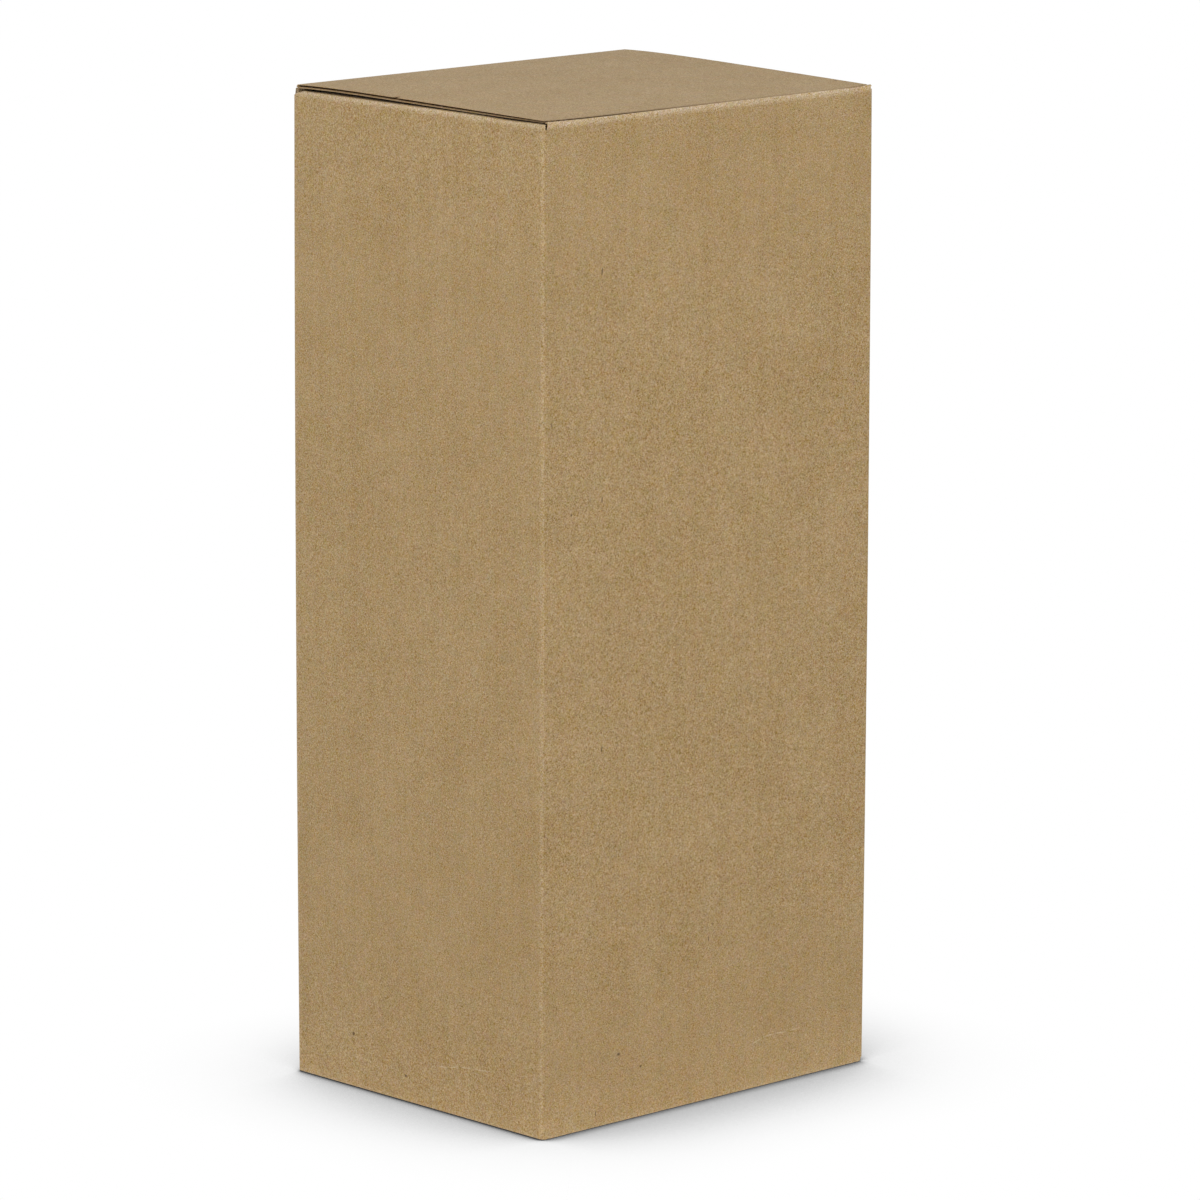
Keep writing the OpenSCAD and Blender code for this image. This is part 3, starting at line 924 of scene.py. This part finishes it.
lid_path = FoldedPath((lid_front, -carton_h), 0)
lid_run = lid_back - tuck_r - lid_front
nick_stations = [nick_at + nick_half * k for k in (-1, -0.8, 0, 0.8, 1)]
bend_stations = [0.5 * MM * k for k in (1, 2, 3, 4, 6, 7, 8)]
lid_path.go(lid_run, lid_step, "panel", from_start=True, extra=nick_stations + bend_stations)
panel_rows = len(lid_path.rows)
lid_path.fold(tuck_fold, "fold", tuck_r)
end_stations(lid_path, tuck_len, tuck_corner_r, "tuck")
lid_layers = liners(lid_path.rows, lid_limits, lid_place, columns=32,
                    outer_limits=lid_outer_limits, inner_limits=lid_inner_limits)

# The flutes show along the panel's two cut sides and round the tuck flap's edge.
band_w = 3 * flute_pitch
flute_drift = 0.0037         # the flutes don't run quite square to the crease
for out in (-1, 1):
    cut = out * (lid_half - 0.8 * MM)
    band = sorted((cut, cut - out * band_w))
    end_shift = 0.25 - (cut + flute_drift * lid_run) / flute_pitch
    lid_layers += medium(lid_path.rows[:panel_rows], lambda part, run: band, lid_place,
                         columns=30, drift=flute_drift, shift=end_shift)
lid_layers += medium(lid_path.rows[panel_rows + fold_steps:], lid_limits, lid_place,
                     columns=540)
crease_bend = [(0, lid_front + run, carton_h) for run in (0.4 * MM, 4 * MM)]
board_piece("lid_panel", lid_layers, "lid", "lid", shape=lie_closed, bend=crease_bend)

# Floor and light.
# A plain white lit table that meets the white backdrop, under a pale dome, with a wide soft
# lamp on each side of the camera. The table darkens only close to what stands on it, and
# its glow lifts the foot of the walls.

floor_mesh = bpy.data.meshes.new("studio_floor")
floor_half = 8.0
floor_turns = ((-1, -1), (1, -1), (1, 1), (-1, 1))
floor_corners = [(floor_half * x, floor_half * y, 0) for x, y in floor_turns]
floor_mesh.from_pydata(floor_corners, [], [(0, 1, 2, 3)])
floor = bpy.data.objects.new("studio_floor", floor_mesh)
bpy.context.scene.collection.objects.link(floor)
floor_paint = bpy.data.materials.new("studio_white")
floor_paint.use_nodes = True
paint = floor_paint.node_tree
paint.nodes.clear()
floor_out = add(paint, "ShaderNodeOutputMaterial", (4, 0))
matt = add(paint, "ShaderNodeBsdfDiffuse", (1, 1), Color=(0.97, 0.97, 0.97, 1))
glow = add(paint, "ShaderNodeEmission", (1, 0))


def shadow(row, reach, samples, lean, strength, darkest):
    """Floor brightness from how much stands within reach, by a square law. Lean tips the
    shadow to one side."""
    tipped = add(paint, "ShaderNodeCombineXYZ", (-6, row), X=lean[0], Y=lean[1], Z=1.0)
    around = add(paint, "ShaderNodeAmbientOcclusion", (-5, row), samples=samples,
                 Distance=reach)
    paint.links.new(tipped.outputs[0], around.inputs["Normal"])
    hidden = calc(paint, (-4, row), "SUBTRACT", 1.0, around.outputs["AO"])
    dark = calc(paint, (-3, row), "MULTIPLY", hidden, hidden)
    light = calc(paint, (-2, row), "MULTIPLY_ADD", dark, -strength, 1.0)
    return calc(paint, (-1, row), "MAXIMUM", light, darkest)


shadow_reach = 90 * MM
wide = shadow(0, shadow_reach, samples=10, lean=(-0.09, 0.0), strength=2.3, darkest=0.42)
close = shadow(2, 7.5 * MM, samples=10, lean=(-0.13, 0.06), strength=3.2, darkest=0.36)
contact = shadow(4, 2.4 * MM, samples=8, lean=(0.3, -0.3), strength=1.7, darkest=0.28)
soft = calc(paint, (0, 0), "MULTIPLY", wide, close)
soft = calc(paint, (0, 2), "MULTIPLY", soft, contact)
paint.links.new(soft, glow.inputs["Strength"])

# The distance from the box's foot decides where the shadows are worked out at all, and how
# far the table's lift reaches.
lift_reach, lift_strength = 50 * MM, 0.38
floor_point = add(paint, "ShaderNodeTexCoord", (-8, -4))
floor_spot = add(paint, "ShaderNodeSeparateXYZ", (-7, -4))
paint.links.new(floor_point.outputs["Object"], floor_spot.inputs[0])
beside = []
for axis, half in enumerate((half_w, half_d)):
    from_middle = calc(paint, (-6, -3 - axis), "ABSOLUTE", floor_spot.outputs[axis])
    beside.append(calc(paint, (-5, -3 - axis), "SUBTRACT", from_middle, half))
beside = calc(paint, (-4, -4), "MAXIMUM", *beside)
near_foot = ramp(paint, (-3, -4), beside, lift_reach, 0.0)
lift = calc(paint, (-2, -4), "MULTIPLY", near_foot, lift_strength)
far_off = calc(paint, (1, 3), "GREATER_THAN", beside, shadow_reach)

# The camera sees the table as bare or shaded light. Other rays meet matt paint and the lift.
bare = add(paint, "ShaderNodeEmission", (1, 2))
shaded = add(paint, "ShaderNodeMixShader", (2, 2))
paint.links.new(far_off, shaded.inputs[0])
paint.links.new(glow.outputs[0], shaded.inputs[1])
paint.links.new(bare.outputs[0], shaded.inputs[2])
table = add(paint, "ShaderNodeEmission", (1, -4))
paint.links.new(lift, table.inputs["Strength"])
lit_matt = add(paint, "ShaderNodeAddShader", (2, 1))
paint.links.new(matt.outputs[0], lit_matt.inputs[0])
paint.links.new(table.outputs[0], lit_matt.inputs[1])
seen = add(paint, "ShaderNodeLightPath", (1, -1))
by_ray = add(paint, "ShaderNodeMixShader", (3, 0))
paint.links.new(seen.outputs["Is Camera Ray"], by_ray.inputs[0])
paint.links.new(lit_matt.outputs[0], by_ray.inputs[1])
paint.links.new(shaded.outputs[0], by_ray.inputs[2])
paint.links.new(by_ray.outputs[0], floor_out.inputs["Surface"])
floor_mesh.materials.append(floor_paint)

# The dome lights the box, and the camera sees a pure white backdrop instead of it.
world = bpy.data.worlds.new("studio_dome")
bpy.context.scene.world = world
world.use_nodes = True
sky = world.node_tree
sky.nodes.clear()
sky_out = add(sky, "ShaderNodeOutputWorld", (3, 0))
dome = add(sky, "ShaderNodeBackground", (0, 0), Color=(1, 1, 1, 1), Strength=0.765)
backdrop = add(sky, "ShaderNodeBackground", (0, 1), Color=(1, 1, 1, 1), Strength=1.0)
sky_seen = add(sky, "ShaderNodeLightPath", (0, -2))
direct = calc(sky, (1, -2), "MAXIMUM", sky_seen.outputs["Is Camera Ray"],
              sky_seen.outputs["Is Transmission Ray"])
choose = add(sky, "ShaderNodeMixShader", (2, 0))
sky.links.new(direct, choose.inputs[0])
sky.links.new(dome.outputs[0], choose.inputs[1])
sky.links.new(backdrop.outputs[0], choose.inputs[2])
sky.links.new(choose.outputs[0], sky_out.inputs["Surface"])


def direction(azimuth, elevation):
    """Unit vector towards an azimuth, counted from the front wall, and an elevation."""
    a, e = math.radians(azimuth), math.radians(elevation)
    return Vector((math.sin(a) * math.cos(e), -math.cos(a) * math.cos(e), math.sin(e)))


centre = Vector((0, 0, carton_h / 2))
lamp_elevation = 36
lamp_distance = 1.1
for lamp_name, azimuth, power in (("front_left", -84, 2.38), ("front_right", -2, 2.33)):
    away = direction(azimuth, lamp_elevation)
    data = bpy.data.lights.new(lamp_name, "AREA")
    data.shape = "SQUARE"
    data.size = 0.6
    data.energy = power
    lamp = bpy.data.objects.new(lamp_name, data)
    lamp.location = centre + away * lamp_distance
    lamp.rotation_mode = "QUATERNION"
    lamp.rotation_quaternion = away.to_track_quat("Z", "Y")
    bpy.context.scene.collection.objects.link(lamp)

# Camera.
# A long lens from the front left, a little above the lid, as the photograph was taken.
# The box stands a little left of the picture's middle, and a little above it.

view_azimuth = -43.58        # this and the next two are in degrees
view_elevation = 11.14
view_roll = 0.18
view_distance = 6.98 * carton_h
aim_right, aim_down = 0.0173, 0.0198  # shares of the box's height
back = direction(view_azimuth, view_elevation)
right = direction(view_azimuth + 90, 0)
up = back.cross(right)
camera_data = bpy.data.cameras.new("studio_camera")
camera_data.sensor_width = 36
camera_data.lens = 210
camera = bpy.data.objects.new("studio_camera", camera_data)
aim = (aim_right * right - aim_down * up) * carton_h
camera.location = centre + back * view_distance + aim
camera.rotation_mode = "QUATERNION"
roll = Quaternion(back, math.radians(view_roll))
camera.rotation_quaternion = roll @ back.to_track_quat("Z", "Y")
bpy.context.scene.collection.objects.link(camera)
bpy.context.scene.camera = camera
bpy.context.scene.view_settings.view_transform = "Standard"
